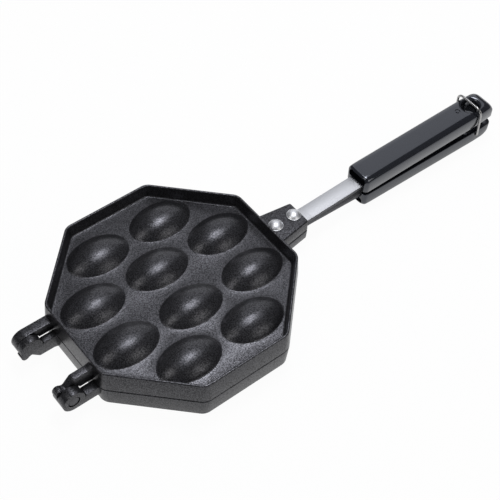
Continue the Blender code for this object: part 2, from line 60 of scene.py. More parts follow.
# %% Sizes of the casting
HINGE_X = -0.190083  # the pins' axis
PLATE_RISE = 0.0162  # from the parting plane to a skirt's rim
HALF_GAP = 0.00015  # from the parting plane to the face of a half
SEAT = 0.0003  # clearance between pieces that touch on the real pan
HINGE_REACH = 0.0981  # from the pins' axis to the plate's middle
APOTHEM = 0.080  # half of the plate's width across its flats
PLATE_CORNER, LEAST_CORNER = 0.010, 0.0015  # radii of the octagon's corners: outside, and at least
RIM_INSET, RIM_WALL = 0.0012, 0.0017  # the skirt's draft, and the rim's width
FOOT_INSET = 0.0045  # where the skirt's inside meets the web
FACE_INSET = 0.0020  # where the flat face begins
WEB_RUN = 0.004  # stretch of the web that gives the fillet its direction; its far end is dropped
SKIRT_ROUND, WEB_FILLET = 0.0008, 0.0013
WEB = 0.0072  # from the parting plane to the flat ground between the domes
CUP_LENGTH, CUP_WIDTH, CUP_DEPTH, LIP = 0.046, 0.0326, 0.0115, 0.0005
CUP_PITCH, INNER_ROW, OUTER_ROW = 0.05075, 0.0189, 0.0513  # along a row, and from the long axis
DOME_SEMI_X, DOME_SEMI_Y, DOME_RISE = 0.0228, 0.0154, 0.0074
DOME_CAP = 0.677  # share of the egg's half height that lies under the web
FILLET = 0.0006  # hollow fillet round a dome

# %% Sizes of the hinge, the lug and the rivets
PIN_RADIUS, PIN_EDGE = 0.004, 0.0004
PIN_COVER = 0.0012  # metal over a pin's blind end
PIN_DROP, PIN_LINE = 0.0003, 0.0003  # how deep a pin's end lies, and how much thinner the pin is drawn
EAR_RADIUS, EAR_ROOT_X = 0.008, 0.02015
EAR_BLOCK = 0.0009  # the notch beside an ear's round, on the parting plane
HOOK_SPAN, HOOK_EDGE = (0.0183, 0.0233), 0.0004  # from inner to outer face, from the long axis
BOSS_SPAN, BOSS_EDGE = (0.0236, 0.0305), 0.0006
LUG_END_X, LUG_RISE = 0.2054, 0.0091
LUG_SINK = 0.00205  # how far the lug's root reaches into the skirt
LUG_ROOT_HALF, LUG_END_HALF, LUG_TAPER_RUN = 0.0139, 0.0100, 0.0273  # half widths, and the run between them
LUG_DRAFT, LUG_CORNER, LUG_EDGE = 0.0005, 0.0015, 0.0009
RIVETS_X = (0.1845, 0.2003)
HEAD_RADIUS, HEAD_RISE = 0.00515, 0.0023
HEAD_FOOT, CAP_START = 0.0002, 0.05  # a head's low foot, and the turn above its rim at which the cap begins
SHANK_RADIUS, TAIL_RADIUS, TAIL_DEPTH = 0.0025, 0.004, 0.0014
RIVET_HOLE, RIVET_FLARE = 0.0028, 0.0043
OVERRUN = 0.002  # how far a cutting tool runs past a face

# %% Sizes of the strap, the grip and the bail
STRAP_HALF, STRAP_THICK, STRAP_EDGE = 0.0061, 0.0029, 0.00035
STRAP_LIFT = 0.0003  # from the parting plane to the strap's inner face
STRAP_START_X, BEND_X, BEND_RADIUS = 0.1776, 0.2136, 0.012
GRIP_X, STRAP_AT_GRIP = 0.2586, 0.002505  # a grip's near end, and the height of the strap's inner face there
SLOT_RISE = 0.0035  # of the slot in the lug that takes the strap
GRIP_LIFT, GRIP_TILT = 0.00125, atan(0.0185)  # a grip's height at its near end, and its slope
GRIP_LENGTH, GRIP_HALF, GRIP_RISE = 0.1302, 0.0106, 0.0128
TANG_LENGTH, TANG_INSET, GROOVE_TOP = 0.0915, 0.001255, 0.004455  # the strap inside a grip, and its groove
HANG_X, HANG_RADIUS, HANG_FLARE = 0.113, 0.0065, 0.0030
SCREWS_X, SCREW_HOLE, SCREW_FLARE, SCREW_SINK = (0.030, 0.076), 0.0018, 0.0035, 0.0017
INSERT_RADIUS, INSERT_DEPTH = 0.0031, 0.010255
BAIL_X, BAIL_DEPTH = 0.371781, 0.0063  # the bail's pivot in its half
BAIL_HALF, BAIL_REACH, BAIL_LEAN = 0.0119, 0.025944, 0.0019  # half width, height, and lean towards the plates
STUB_END, STUB_BEND, BAIL_BEND = 0.0079, 0.0014, 0.005
WIRE_RADIUS, PIVOT_RADIUS = 0.0009, 0.0012

print("plate", round(2 * APOTHEM * 1000), "mm across, grips", round(GRIP_LENGTH * 1000, 1), "mm long")

# %% [markdown]
# ## Where the two halves stand
#
# One matrix carries a half's own drawing to the upper place, and one turns it over to the lower
# place.

# %% Places of the halves and of a grip
UPPER = Matrix.Translation((HINGE_X, 0, PLATE_RISE))
LOWER = UPPER @ Matrix.Rotation(pi, 4, "X")
HALVES = {"upper": UPPER, "lower": LOWER}
GRIP_PLACE = Matrix.Translation((GRIP_X, 0, GRIP_LIFT)) @ Matrix.Rotation(-GRIP_TILT, 4, "Y")
print("parting plane at", PLATE_RISE * 1000, "mm")

# %% [markdown]
# ## The camera first
#
# The photograph was taken from above the near hinge, looking along the handle with a long lens and
# a slight roll. The camera's place was worked out from the octagon's corners, the rivets and the
# grips.

# %% Camera
DISTANCE, SHIFT_RIGHT, SHIFT_UP = 0.7931, 0.0482, 0.0324
SENSOR_MM, FOCAL_PIXELS, PICTURE_PIXELS = 36, 1196.5, 500
azimuth, elevation, roll = radians(228.63), radians(51.63), radians(3.95)
back = Vector((cos(elevation) * cos(azimuth), cos(elevation) * sin(azimuth), sin(elevation)))
level_right = Vector((-sin(azimuth), cos(azimuth), 0))
level_up = back.cross(level_right)
image_right = cos(roll) * level_right + sin(roll) * level_up
image_up = -sin(roll) * level_right + cos(roll) * level_up
plate_centre = Vector((HINGE_X + HINGE_REACH, 0, PLATE_RISE))
eye = plate_centre + back * DISTANCE + SHIFT_RIGHT * level_right + SHIFT_UP * level_up
camera = bpy.data.objects.new("camera", bpy.data.cameras.new("camera"))
bpy.context.scene.collection.objects.link(camera)
turn = Matrix((image_right, image_up, back)).transposed().to_4x4()
camera.matrix_world = Matrix.Translation(eye) @ turn
camera.data.sensor_width = SENSOR_MM
camera.data.lens = FOCAL_PIXELS / PICTURE_PIXELS * SENSOR_MM
camera.data.clip_start = 0.05
bpy.context.scene.camera = camera
print("camera", [round(v, 3) for v in eye])

# %% [markdown]
# ## Helpers for surfaces
#
# A grid of points becomes quads between neighbouring rows. Several grids that share their edges are
# sewn into one closed skin, and its faces are turned outwards.

# %% Grids, skins and solids


def grid_faces(rows, columns, closed=True):
    """Quads between neighbouring rows of points; closed joins the last column to the first."""
    across = np.arange(columns if closed else columns - 1)
    row, column = np.meshgrid(np.arange(rows - 1), across, indexing="ij")
    here = row * columns + column
    beside = row * columns + (column + 1) % columns
    return np.stack([here, beside, beside + columns, here + columns], -1).reshape(-1, 4).tolist()


def patch(rows, closed=True, tips=(False, False)):
    """Points and faces of a grid of shape (rows, columns, 3).

    A tip closes an end by a point at its ring's mean."""
    points = rows.reshape(-1, 3)
    count = rows.shape[1]
    faces = grid_faces(rows.shape[0], count, closed)
    for end, wanted in enumerate(tips):
        if not wanted:
            continue
        ring = rows[-end]
        first = 0 if end == 0 else (rows.shape[0] - 1) * count
        top = len(points)
        points = np.vstack([points, ring.mean(0)])
        faces += [[first + i, first + (i + 1) % count, top] for i in range(count)]
    return points, faces


def sew(name, patches, weld=2e-6):
    """One closed mesh from patches of points and faces, with points that coincide made one."""
    start, points, faces = 0, [], []
    for some_points, some_faces in patches:
        points.append(some_points)
        faces += [[start + corner for corner in face] for face in some_faces]
        start += len(some_points)
    mesh = bpy.data.meshes.new(name)
    mesh.from_pydata(np.concatenate(points).tolist(), [], faces)
    shape = bmesh.new()
    shape.from_mesh(mesh)
    bmesh.ops.remove_doubles(shape, verts=shape.verts, dist=weld)
    bmesh.ops.recalc_face_normals(shape, faces=shape.faces)
    loose = [edge for edge in shape.edges if len(edge.link_faces) != 2]
    shape.to_mesh(mesh)
    shape.free()
    print(name, "faces", len(mesh.polygons), "open edges", len(loose))
    return mesh


def rounded(corners, radii, steps=6, closed=True):
    """Plane outline with each corner replaced by an arc that touches both of its sides."""
    points = []
    count = len(corners)
    for i, (corner, radius) in enumerate(zip(corners, radii)):
        if radius == 0 or (not closed and i in (0, count - 1)):
            points.append(tuple(corner))
            continue
        here = np.array(corner, float)
        back_way = np.array(corners[i - 1], float) - here
        on_way = np.array(corners[(i + 1) % count], float) - here
        back_way /= np.linalg.norm(back_way)
        on_way /= np.linalg.norm(on_way)
        half = acos(np.clip(back_way @ on_way, -1, 1)) / 2
        middle = back_way + on_way
        centre = here + middle / np.linalg.norm(middle) * radius / sin(half)
        first = here + back_way * radius / tan(half) - centre
        last = here + on_way * radius / tan(half) - centre
        share = np.linspace(0, 1, steps + 1)[:, None]
        angle = pi - 2 * half
        arc = (np.sin((1 - share) * angle) * first + np.sin(share * angle) * last) / sin(angle) + centre
        points += [tuple(point) for point in arc]
    return np.array(points)


def prism(name, outline, low, high, axis="Y"):
    """Closed prism on a plane outline: (x, z) carried along Y, or (x, y) carried along Z."""
    levels = np.repeat([[low], [high]], len(outline), 1)[..., None]
    flat = np.repeat(outline[None], 2, 0)
    order = [0, 2, 1] if axis == "Y" else [0, 1, 2]
    rows = np.concatenate([flat, levels], -1)[..., order]
    points = rows.reshape(-1, 3)
    count = len(outline)
    faces = grid_faces(2, count) + [list(range(count)), list(range(count, 2 * count))]
    return sew(name, [(points, faces)])


def turned(name, profile, sides=48, closed=False):
    """Profile of (radius, height) pairs turned about Z.

    It starts and ends on the axis, or closed joins its ends."""
    profile = np.array(profile, float)
    angle = np.linspace(0, 2 * pi, sides, endpoint=False)
    radius, height = profile[:, :1], profile[:, 1:]
    rows = np.stack([radius * np.cos(angle), radius * np.sin(angle), height + 0 * angle], -1)
    if closed:
        rows = np.concatenate([rows, rows[:1]])
    return sew(name, [patch(rows)])


# %% [markdown]
# ## Solid cuts and soft edges
#
# Drilled, sawn and moulded features are Boolean steps between closed meshes. A cast or sheared edge
# is never razor sharp, so a Bevel modifier breaks the edges of a solid before it is joined or cut.

# %% Booleans and broken edges


def settle(mesh, **modifiers):
    """Mesh after the named modifiers, each given as NAME=dictionary of settings."""
    body = bpy.data.objects.new("body", mesh)
    bpy.context.scene.collection.objects.link(body)
    for kind, settings in modifiers.items():
        modifier = body.modifiers.new(kind, kind)
        for key, value in settings.items():
            setattr(modifier, key, value)
    bpy.context.view_layer.update()
    result = bpy.data.meshes.new_from_object(body.evaluated_get(bpy.context.evaluated_depsgraph_get()))
    bpy.data.objects.remove(body)
    return result


def broken_edges(mesh, width, segments=3):
    """Mesh with its sharp edges rounded to a width."""
    settings = {"width": width, "segments": segments, "limit_method": "ANGLE", "angle_limit": radians(30)}
    settings["use_clamp_overlap"] = True
    return settle(mesh, BEVEL=settings)


def combine(mesh, tools, operation):
    """Mesh after a Boolean with each tool in turn."""
    for tool_mesh in tools:
        tool = bpy.data.objects.new("tool", tool_mesh)
        bpy.context.scene.collection.objects.link(tool)
        mesh = settle(mesh, BOOLEAN={"object": tool, "operation": operation, "solver": "EXACT"})
        bpy.data.objects.remove(tool)
    return mesh


def moved(mesh, matrix):
    """Copy of a mesh, carried by a matrix that turns no shape inside out."""
    copy = mesh.copy()
    copy.transform(matrix)
    return copy


def show(name, mesh, body, nodes, surface, sharp=32):
    """Finished piece: it rides on a body, stands for CAD nodes and wears a material."""
    mesh.shade_smooth()
    mesh.set_sharp_from_angle(angle=radians(sharp))
    piece = bpy.data.objects.new(name, mesh)
    bpy.context.scene.collection.objects.link(piece)
    mesh.materials.clear()
    mesh.materials.append(surface)
    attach(piece, body)
    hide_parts(*nodes)
    print(name, "triangles", sum(len(face.vertices) - 2 for face in mesh.polygons))
    return piece


# %% [markdown]
# ## Helpers for materials
#
# Colours are written as sRGB hex, as a paint chart gives them, and one function makes them linear.
# One function adds a node with its settings and its inputs.

# %% Colours and nodes


def colour(code):
    """Linear RGBA of an sRGB hex code."""
    shares = [int(code[i : i + 2], 16) / 255 for i in (1, 3, 5)]
    linear = [s / 12.92 if s <= 0.04045 else ((s + 0.055) / 1.055) ** 2.4 for s in shares]
    return (*linear, 1)


def add(tree, kind, inputs, **settings):
    """Node of a kind, with its settings, and with each input given a value or another node's socket."""
    made = tree.nodes.new("ShaderNode" + kind)
    for key, value in settings.items():
        setattr(made, key, value)
    for key, value in inputs.items():
        if isinstance(value, bpy.types.NodeSocket):
            tree.links.new(value, made.inputs[key])
        else:
            made.inputs[key].default_value = value
    return made


def material(name):
    """Empty material with its Principled shader, and the socket of Object coordinates."""
    made = bpy.data.materials.new(name)
    made.use_nodes = True
    tree = made.node_tree
    where = add(tree, "TexCoord", {}).outputs["Object"]
    return made, tree, tree.nodes["Principled BSDF"], where


def ramp(tree, factor, low, high, colours=("#000000", "#ffffff")):
    """Colour ramp between two places of a factor."""
    made = add(tree, "ValToRGB", {"Fac": factor})
    for element, place, code in zip(made.color_ramp.elements, (low, high), colours):
        element.position = place
        element.color = colour(code)
    return made.outputs["Color"]


# %% [markdown]
# ## Non-stick coating on cast aluminium
#
# The castings are grit-blasted and sprayed with a charcoal non-stick coat. The pigment is nearly
# black, so most of what the eye sees is the satin sheen of the lamps, broken into specks by a sandy
# grain. The grain is drawn at 0.8 mm, a little coarser than the real one, because a finer one would
# vanish at this distance. It moves the colour, the strength of the sheen and the relief together.
# Slow clouds in the roughness stand for the uneven spray.

# %% Coating material
GRAIN, GRAIN_RELIEF, CLOUD = 0.0008, 0.0002, 0.02
GRAIN_LOW, GRAIN_HIGH = 0.40, 0.62  # where the noise turns from hollow to peak
coating, tree, shader, where = material("charcoal_nonstick_on_blasted_aluminium")
sandy = {"Vector": where, "Scale": 1 / GRAIN, "Detail": 3.0, "Roughness": 0.65}
grain = add(tree, "TexNoise", sandy).outputs["Fac"]
clouds = add(tree, "TexNoise", {"Vector": where, "Scale": 1 / CLOUD, "Detail": 2.0}).outputs["Fac"]
flecks = ramp(tree, grain, GRAIN_LOW, GRAIN_HIGH, ("#161617", "#252527"))
tree.links.new(flecks, shader.inputs["Base Color"])
sheen = {"Value": grain, "From Min": GRAIN_LOW, "From Max": GRAIN_HIGH, "To Min": 0.20, "To Max": 0.95}
sheen = add(tree, "MapRange", sheen).outputs["Result"]
tree.links.new(sheen, shader.inputs["Specular IOR Level"])
gloss = {"Value": clouds, "From Min": 0.3, "From Max": 0.7, "To Min": 0.27, "To Max": 0.33}
gloss = add(tree, "MapRange", gloss).outputs["Result"]
tree.links.new(gloss, shader.inputs["Roughness"])
relief = add(tree, "Bump", {"Height": grain, "Strength": 0.35, "Distance": GRAIN_RELIEF})
tree.links.new(relief.outputs["Normal"], shader.inputs["Normal"])
shader.inputs["Specular Tint"].default_value = (0.92, 0.92, 1, 1)
print("coating nodes", len(tree.nodes))

# %% [markdown]
# ## Drawn and brushed steel
#
# The straps are cold-rolled strip, brushed along its length: fine parallel scratches give a pale,
# even sheen. A noise that is stretched fifty times along x draws them about 0.4 mm apart. The
# sheared sides are coloured dark grey as painted shade. The bail is drawn wire, brighter and smoother. The
# pins and screws are blackened.

# %% Strip steel
SCRATCH, SCRATCH_LENGTH, SCRATCH_RELIEF = 1 / 2500, 1 / 50, 0.00003
SIDE_SHADE_BAND = 0.0001  # how far the painted shade of the sides runs on to the flat
brushed, tree, shader, where = material("brushed_steel_strip")
stretch = (1 / SCRATCH_LENGTH, 1 / SCRATCH, 1 / SCRATCH)
lined = add(tree, "Mapping", {"Vector": where, "Scale": stretch}).outputs["Vector"]
fine = {"Vector": lined, "Scale": 1.0, "Detail": 3.0, "Roughness": 0.6}
scratches = add(tree, "TexNoise", fine).outputs["Fac"]
sheen = ramp(tree, scratches, 0.3, 0.7, ("#acadb0", "#b4b5b7"))
across = add(tree, "SeparateXYZ", {"Vector": where}).outputs["Y"]
from_middle = add(tree, "Math", {0: across}, operation="ABSOLUTE").outputs[0]
# Painted shade: the strap's sheared sides, and a 0.1 mm band of the flat beside them, are coloured dark grey.
painted_side_shade = add(tree, "Math", {0: from_middle, 1: STRAP_HALF - SIDE_SHADE_BAND}, operation="GREATER_THAN").outputs[0]
skin = add(tree, "Mix", {"Factor": painted_side_shade, "A": sheen, "B": colour("#5c5c5f")}, data_type="RGBA")
shader.inputs["Metallic"].default_value = 1.0
tree.links.new(skin.outputs["Result"], shader.inputs["Base Color"])
polish = add(tree, "MapRange", {"Value": scratches, "To Min": 0.50, "To Max": 0.56})
tree.links.new(polish.outputs["Result"], shader.inputs["Roughness"])
relief = add(tree, "Bump", {"Height": scratches, "Strength": 0.03, "Distance": SCRATCH_RELIEF})
tree.links.new(relief.outputs["Normal"], shader.inputs["Normal"])
print("strip steel nodes", len(tree.nodes))

# %% Wire steel and pin steel
WIRE_GRAIN, TURNED_GRAIN = 0.0015, 0.0008
wire_steel, tree, shader, where = material("drawn_bright_steel_wire")
dull = add(tree, "TexNoise", {"Vector": where, "Scale": 1 / WIRE_GRAIN, "Detail": 3.0}).outputs["Fac"]
shader.inputs["Metallic"].default_value = 1.0
tree.links.new(ramp(tree, dull, 0.3, 0.7, ("#919192", "#b5b4b2")), shader.inputs["Base Color"])
polish = add(tree, "MapRange", {"Value": dull, "To Min": 0.18, "To Max": 0.34})
tree.links.new(polish.outputs["Result"], shader.inputs["Roughness"])

pin_steel, tree, shader, where = material("blackened_turned_steel")
oxide = add(tree, "TexNoise", {"Vector": where, "Scale": 1 / TURNED_GRAIN, "Detail": 3.0}).outputs["Fac"]
shader.inputs["Metallic"].default_value = 0.6
tree.links.new(ramp(tree, oxide, 0.3, 0.7, ("#3a3a3d", "#56565a")), shader.inputs["Base Color"])
shader.inputs["Roughness"].default_value = 0.42
print("steels made")

# %% [markdown]
# ## Pressed aluminium and turned brass
#
# The rivet heads are soft aluminium, formed by a cup tool. They are bright and nearly white, with a
# faint satin from the tool. The inserts are turned brass, slightly tarnished. They lie out of sight
# inside the grips.

# %% Aluminium and brass
SATIN, SATIN_RELIEF, TARNISH = 0.0006, 0.00004, 0.002
rivet_metal, tree, shader, where = material("pressed_aluminium")
satin = add(tree, "TexNoise", {"Vector": where, "Scale": 1 / SATIN, "Detail": 4.0}).outputs["Fac"]
shader.inputs["Metallic"].default_value = 1.0
tree.links.new(ramp(tree, satin, 0.3, 0.7, ("#cfd0d3", "#e6e7e9")), shader.inputs["Base Color"])
polish = add(tree, "MapRange", {"Value": satin, "To Min": 0.34, "To Max": 0.5})
tree.links.new(polish.outputs["Result"], shader.inputs["Roughness"])
relief = add(tree, "Bump", {"Height": satin, "Strength": 0.12, "Distance": SATIN_RELIEF})
tree.links.new(relief.outputs["Normal"], shader.inputs["Normal"])

brass, tree, shader, where = material("turned_brass")
tarnish = add(tree, "TexNoise", {"Vector": where, "Scale": 1 / TARNISH, "Detail": 3.0}).outputs["Fac"]
shader.inputs["Metallic"].default_value = 1.0
tree.links.new(ramp(tree, tarnish, 0.3, 0.7, ("#b08d3e", "#cdaa58")), shader.inputs["Base Color"])
shader.inputs["Roughness"].default_value = 0.34
print("rivet and insert metals made")

# %% [markdown]
# ## Moulded phenolic
#
# The grips are compression-moulded phenolic, black all through. The mould is polished, so the
# surface is glossy, and slow ripples of a few millimetres, left as the resin shrank, bend its
# reflections a little. Fine dust makes the gloss slightly uneven. The IOR is set a little over that
# of the resin, because the grips' tops mirror as strongly as that.

# %% Grip material
RIPPLE, DUST, RIPPLE_RELIEF = 0.007, 0.0009, 0.0002
phenolic, tree, shader, where = material("glossy_black_phenolic")
ripple = add(tree, "TexNoise", {"Vector": where, "Scale": 1 / RIPPLE, "Detail": 1.0}).outputs["Fac"]
dust = add(tree, "TexNoise", {"Vector": where, "Scale": 1 / DUST, "Detail": 3.0}).outputs["Fac"]
tree.links.new(ramp(tree, dust, 0.35, 0.75, ("#121317", "#1b1d24")), shader.inputs["Base Color"])
polish = add(tree, "MapRange", {"Value": dust, "To Min": 0.07, "To Max": 0.15})
tree.links.new(polish.outputs["Result"], shader.inputs["Roughness"])
shader.inputs["IOR"].default_value = 1.75
shader.inputs["Specular Tint"].default_value = (0.87, 0.91, 1, 1)
relief = add(tree, "Bump", {"Height": ripple, "Strength": 0.25, "Distance": RIPPLE_RELIEF})
tree.links.new(relief.outputs["Normal"], shader.inputs["Normal"])
print("phenolic made")

# %% [markdown]
# ## The casting: skirt, web and face
#
# The skirt is one profile carried round a rounded octagon: up the drafted outside, over the rim,
# down the inside and through a hollow fillet to the web. The web and the parting face are flat, so
# they are cut into triangles between their outline and the ovals in it.

# %% The octagon and the skirt
CORNER_STEPS = 10
EIGHTH = pi / 4  # an eighth of a turn


def octagon(inset, height):
    """Ring of points: an octagon whose flats lie inset from the plate's edge, its corners rounded by arcs.

    A corner's centre lies at (flat - radius) / cos(half an eighth of a turn) from the middle."""
    flat = APOTHEM - inset
    radius = max(PLATE_CORNER - inset, LEAST_CORNER)
    corner = np.arange(8)[:, None] * EIGHTH + EIGHTH / 2
    angle = corner + np.linspace(-EIGHTH / 2, EIGHTH / 2, CORNER_STEPS + 1)
    reach = (flat - radius) / cos(EIGHTH / 2)
    x = HINGE_REACH + reach * np.cos(corner) + radius * np.cos(angle)
    y = reach * np.sin(corner) + radius * np.sin(angle)
    return np.stack([x.ravel(), y.ravel(), np.full(x.size, height)], -1)


corners = [(FACE_INSET, HALF_GAP), (0, HALF_GAP), (RIM_INSET, PLATE_RISE)]
corners += [(RIM_INSET + RIM_WALL, PLATE_RISE), (FOOT_INSET, WEB), (FOOT_INSET + WEB_RUN, WEB)]
radii = [0, SKIRT_ROUND, SKIRT_ROUND, SKIRT_ROUND, WEB_FILLET, 0]
skirt_profile = rounded(corners, radii, closed=False)[:-1]
skirt = np.stack([octagon(inset, height) for inset, height in skirt_profile])
print("skirt rings", skirt.shape)

# %% [markdown]
# ## Domes and cups
#
# A dome is the cap of an egg. Where it meets the web, a smooth maximum of the egg's height and the
# web's height makes the hollow fillet: where the two differ by more than 0.6 mm it is simply the
# higher one, and nearer than that they run together. A cup is half an egg, with its lip rounded
# over.

# %% Domes and cups
OVAL_SIDES = 72


def centres():
    """Middles of the ten ovals: rows of two, three, three and two."""
    found = []
    for side in (-1, 1):
        found += [(HINGE_REACH + step * CUP_PITCH, side * INNER_ROW) for step in (-1, 0, 1)]
        found += [(HINGE_REACH + step * CUP_PITCH / 2, side * OUTER_ROW) for step in (-1, 1)]
    return found


def ovals(centre, semi_x, semi_y, heights):
    """Rings of points: ovals of given half axes about a centre, one for each height."""
    angle = np.linspace(0, 2 * pi, OVAL_SIDES, endpoint=False)
    x = centre[0] + semi_x[:, None] * np.cos(angle)
    y = centre[1] + semi_y[:, None] * np.sin(angle)
    return np.stack([x, y, np.broadcast_to(heights[:, None], x.shape)], -1)


# With d the difference of the two heights, band is 1 - |d| / FILLET, or 0 where that is less, and the
# higher one gains band squared x FILLET / 4.
egg_height = DOME_RISE / (1 - DOME_CAP)
egg_scale = 1 / sin(acos(DOME_CAP))
last_turn = acos(DOME_CAP - FILLET / egg_height)
# The rings lie closer together at a dome's foot.
cap_shares = np.concatenate([np.linspace(0.06, 0.80, 9), np.linspace(0.84, 1, 8)])
dome_turn = cap_shares * last_turn
share = np.sin(dome_turn) * egg_scale
own = egg_height * (np.cos(dome_turn) - DOME_CAP)
band = np.maximum(FILLET - np.abs(own), 0) / FILLET
dome_rise = np.maximum(own, 0) + band * band * FILLET / 4
dome_span = (share * DOME_SEMI_X, share * DOME_SEMI_Y)

LIP_RINGS = 5
ALMOST_QUARTER = asin(1 - 0.00001)  # the turn of a cup's last ring, just short of a quarter
lip_base = HALF_GAP + LIP
cup_turn = np.linspace(0.06, 1, 14) * ALMOST_QUARTER
cup_height = CUP_DEPTH * np.cos(cup_turn)
keep = cup_height > lip_base
cup_share = np.sin(cup_turn[keep])
lip_turn = np.linspace(0, pi / 2, LIP_RINGS)
cup_grow = np.concatenate([0 * cup_share, LIP * (1 - np.cos(lip_turn))])
cup_share = np.concatenate([cup_share, np.full(LIP_RINGS, sqrt(1 - (lip_base / CUP_DEPTH) ** 2))])
cup_level = np.concatenate([cup_height[keep], HALF_GAP + LIP * (1 - np.sin(lip_turn))])
cup_span = (cup_share * CUP_LENGTH / 2 + cup_grow, cup_share * CUP_WIDTH / 2 + cup_grow)
print("dome stands", round(float(dome_rise[0]) * 1000, 2), "mm over the web")

# %% Flat faces between an outline and ovals


def flat_face(outline, holes, height):
    """Flat patch: triangles between a convex outline and oval holes, all given as rings of points."""
    rings = [outline] + holes
    points = np.concatenate(rings)[:, :2]
    edges, start = [], 0
    for ring in rings:
        count = len(ring)
        edges += [(start + i, start + (i + 1) % count) for i in range(count)]
        start += count
    flat, _, triangles, _, _, _ = delaunay_2d_cdt([Vector(p) for p in points], edges, [], 0, 1e-9)
    flat = np.array([tuple(p) for p in flat])
    triangles = np.array(triangles)
    middle = flat[triangles].mean(1)
    keep = np.ones(len(triangles), bool)
    for ring in holes:
        centre = ring[:, :2].mean(0)
        semi = np.ptp(ring[:, :2], axis=0) / 2
        keep &= (((middle - centre) / semi) ** 2).sum(1) > 1
    return np.column_stack([flat, np.full(len(flat), height)]), triangles[keep].tolist()


domes = [ovals(centre, *dome_span, WEB + dome_rise) for centre in centres()]
cups = [ovals(centre, *cup_span, cup_level) for centre in centres()]
patches = [patch(skirt)]
patches += [patch(rings, tips=(True, False)) for rings in domes + cups]
patches.append(flat_face(skirt[-1], [rings[-1] for rings in domes], WEB))
patches.append(flat_face(skirt[0], [rings[-1] for rings in cups], HALF_GAP))
casting = sew("casting", patches)

# %% [markdown]
# ## Hinge ears and lug
#
# Each casting has an outer ear with a round boss, an inner ear with a hooked nose, and a tapering
# lug for its strap. They are prisms on rounded outlines with their edges broken, joined to the
# skirt by Boolean unions.

# %% Ears


def arc(centre, radius, start, end, steps):
    """Points of an arc in a plane, from one angle to another."""
    angle = np.linspace(start, end, steps + 1)
    return np.stack([centre[0] + radius * np.cos(angle), centre[1] + radius * np.sin(angle)], -1)


block_corner = [(EAR_RADIUS + EAR_BLOCK, HALF_GAP)]
round_end = 2 * pi * 1.042  # a round ends just past the parting plane, at its block
nose_turn = 2 * pi * 0.445  # a hook's round begins under its nose
boss_outline = np.vstack([
    arc((0, 0), EAR_RADIUS, pi / 2, round_end, 44),
    block_corner,
    [(EAR_ROOT_X, HALF_GAP), (EAR_ROOT_X, EAR_RADIUS)],
])
nose_shares = [(-1.035, 0.375), (-1.01, 0.66), (-0.86, 0.90), (-0.68, 0.97)]
nose_shares += [(-0.50, 0.93), (-0.33, 0.79), (-0.10, 0.70)]
nose = [(x * EAR_RADIUS, z * EAR_RADIUS) for x, z in reversed(nose_shares)]
RAMP_SHARE, TOP_SHARE, WALL_RUN, WALL_LIFT = 0.60, 1.45, 0.0045, 0.0016
ear_top = TOP_SHARE * EAR_RADIUS
top_corners = [(EAR_ROOT_X, ear_top + WALL_LIFT), (EAR_ROOT_X - WALL_RUN, ear_top)]
top_corners += [(RAMP_SHARE * EAR_RADIUS, ear_top), *nose]
WALL_ROUND, RAMP_ROUND, NOSE_ROUND = 0.004, 0.002, 0.0012
top_radii = [0, WALL_ROUND, RAMP_ROUND] + [NOSE_ROUND] * len(nose)
hook_top = rounded(top_corners, top_radii, steps=4, closed=False)
hook_outline = np.vstack([
    arc((0, 0), EAR_RADIUS, nose_turn, round_end, 36),
    block_corner,
    [(EAR_ROOT_X, HALF_GAP)],
    hook_top,
])
boss = broken_edges(prism("boss", boss_outline, *BOSS_SPAN), BOSS_EDGE)
hook = broken_edges(prism("hook", hook_outline, -HOOK_SPAN[1], -HOOK_SPAN[0]), HOOK_EDGE)

# %% Lug
root_x = HINGE_REACH + APOTHEM - LUG_SINK
slope = (LUG_ROOT_HALF - LUG_END_HALF) / LUG_TAPER_RUN
half_root = LUG_ROOT_HALF + slope * (HINGE_REACH + APOTHEM - root_x)
lug_rows = []
for height, spread in ((HALF_GAP, LUG_DRAFT), (LUG_RISE, 0)):
    corners = [(root_x, -half_root - spread), (LUG_END_X, -LUG_END_HALF - spread)]
    corners += [(LUG_END_X, LUG_END_HALF + spread), (root_x, half_root + spread)]
    outline = rounded(corners, [0, LUG_CORNER, LUG_CORNER, 0], steps=5)
    lug_rows.append(np.column_stack([outline, np.full(len(outline), height)]))
lug_rows = np.stack(lug_rows)
count = lug_rows.shape[1]
lug_faces = grid_faces(2, count) + [list(range(count)), list(range(count, 2 * count))]
lug = broken_edges(sew("lug", [(lug_rows.reshape(-1, 3), lug_faces)]), LUG_EDGE)

# %% Join and drill the casting
HOLE_LOW, HOLE_HIGH = 0.001, 0.012  # a rivet's hole, from inside the slot to above the lug
casting = combine(casting, [boss, hook, lug], "UNION")
between = (HOOK_SPAN[1] + BOSS_SPAN[0]) / 2
blind = HOOK_SPAN[0] + PIN_COVER
bores = []
for low, high in ((between, BOSS_SPAN[1] + OVERRUN), (-between, -blind)):
    profile = [(0, low), (PIN_RADIUS + SEAT, low), (PIN_RADIUS + SEAT, high), (0, high)]
    bores.append(moved(turned("bore", profile), Matrix.Rotation(-pi / 2, 4, "X")))
slot_half = STRAP_HALF + SEAT
corners = [(STRAP_START_X - SEAT, -OVERRUN), (LUG_END_X + OVERRUN, -OVERRUN)]
corners += [(LUG_END_X + OVERRUN, SLOT_RISE), (STRAP_START_X - SEAT, SLOT_RISE)]
slot = prism("slot", np.array(corners), -slot_half, slot_half)
tools = [*bores, slot]
for x in RIVETS_X:
    profile = [(0, HOLE_LOW), (RIVET_HOLE, HOLE_LOW), (RIVET_HOLE, HOLE_HIGH), (0, HOLE_HIGH)]
    tools.append(moved(turned("hole", profile, 32), Matrix.Translation((x, 0, 0))))
casting = combine(casting, tools, "DIFFERENCE")
for half, place in HALVES.items():
    nodes = [half + "_plate"]
    show("cast_plate_" + half, moved(casting, place), half + "_half", nodes, coating)

